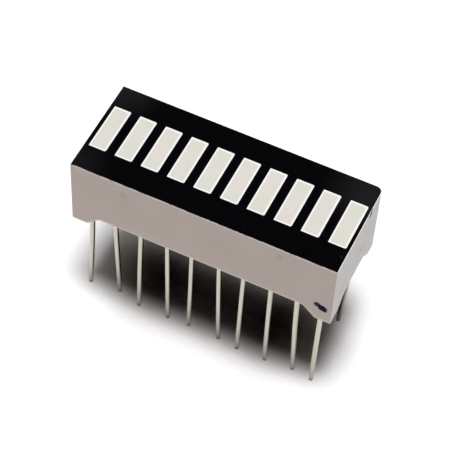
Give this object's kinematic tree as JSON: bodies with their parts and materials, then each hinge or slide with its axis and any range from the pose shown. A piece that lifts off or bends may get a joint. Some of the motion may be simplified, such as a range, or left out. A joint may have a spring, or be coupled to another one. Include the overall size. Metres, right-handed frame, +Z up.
{
  "type": "led bar graph",
  "caption": "Row of rectangular light segments in one moulded reflector housing, on two rows of round pins at the standard grid.",
  "frame": {"origin": "centre of the pin grid on the seating plane, where the housing's feet meet a circuit board", "axes": "+X along the row of segments towards the key corner, +Y towards the row of pins that starts at the key corner, +Z up out of the face"},
  "size_m": [0.0252, 0.01, 0.0192],
  "materials": {
    "housing_plastic": "smooth moulded pale grey thermoplastic",
    "face_ink": "printed black ink, low sheen",
    "segment_resin": "milky diffusing resin, flush cast",
    "board_laminate": "glass and resin laminate with etched copper",
    "back_resin": "cast milky resin",
    "tinned_wire": "dull tinned copper wire",
    "solder": "bright solder",
    "silver_glue": "conductive glue",
    "chip": "sawn semiconductor",
    "bond_wire": "fine bright wire"
  },
  "bodies": {
    "root": {"housing": "housing_plastic", "face_print": "face_ink", "circuit_board": "board_laminate", "back_potting": "back_resin", "solder_joints": "solder", "die_attach": "silver_glue", "segment_01": "segment_resin", "segment_02": "segment_resin", "segment_03": "segment_resin", "segment_04": "segment_resin", "segment_05": "segment_resin", "segment_06": "segment_resin", "segment_07": "segment_resin", "segment_08": "segment_resin", "segment_09": "segment_resin", "segment_10": "segment_resin", "led_chip_01": "chip", "led_chip_02": "chip", "led_chip_03": "chip", "led_chip_04": "chip", "led_chip_05": "chip", "led_chip_06": "chip", "led_chip_07": "chip", "led_chip_08": "chip", "led_chip_09": "chip", "led_chip_10": "chip", "bond_wire_01": "bond_wire", "bond_wire_02": "bond_wire", "bond_wire_03": "bond_wire", "bond_wire_04": "bond_wire", "bond_wire_05": "bond_wire", "bond_wire_06": "bond_wire", "bond_wire_07": "bond_wire", "bond_wire_08": "bond_wire", "bond_wire_09": "bond_wire", "bond_wire_10": "bond_wire", "pin_01": "tinned_wire", "pin_02": "tinned_wire", "pin_03": "tinned_wire", "pin_04": "tinned_wire", "pin_05": "tinned_wire", "pin_06": "tinned_wire", "pin_07": "tinned_wire", "pin_08": "tinned_wire", "pin_09": "tinned_wire", "pin_10": "tinned_wire", "pin_11": "tinned_wire", "pin_12": "tinned_wire", "pin_13": "tinned_wire", "pin_14": "tinned_wire", "pin_15": "tinned_wire", "pin_16": "tinned_wire", "pin_17": "tinned_wire", "pin_18": "tinned_wire", "pin_19": "tinned_wire", "pin_20": "tinned_wire"}
  },
  "joints": []
}
